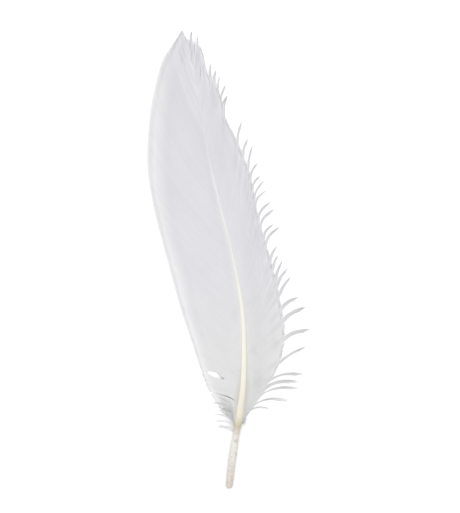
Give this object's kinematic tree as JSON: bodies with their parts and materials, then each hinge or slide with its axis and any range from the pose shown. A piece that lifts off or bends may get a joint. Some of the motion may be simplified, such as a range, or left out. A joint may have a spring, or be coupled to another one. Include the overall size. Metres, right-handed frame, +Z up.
{
  "type": "goose feather",
  "caption": "White goose feather lying flat, with a bare quill end, a curved tapering shaft, a smooth wide vane and a narrow vane whose margin is frayed into hooks.",
  "frame": {"origin": "under the middle of the feather's outline, on the surface that it lies on", "axes": "+Y from the quill's end to the feather's tip, +X towards the narrow vane, +Z up, out of the feather's back"},
  "size_m": [0.0583, 0.1811, 0.0057],
  "materials": {
    "horn": "satin ivory horn, pale towards the tip, translucent grey-beige with faint brown mottles on the bare quill",
    "vane": "soft cool white barbs, zipped together, with a faint silky sheen along them"
  },
  "bodies": {
    "root": {"shaft": "horn", "wide_vane": "vane", "narrow_vane": "vane"}
  },
  "joints": []
}
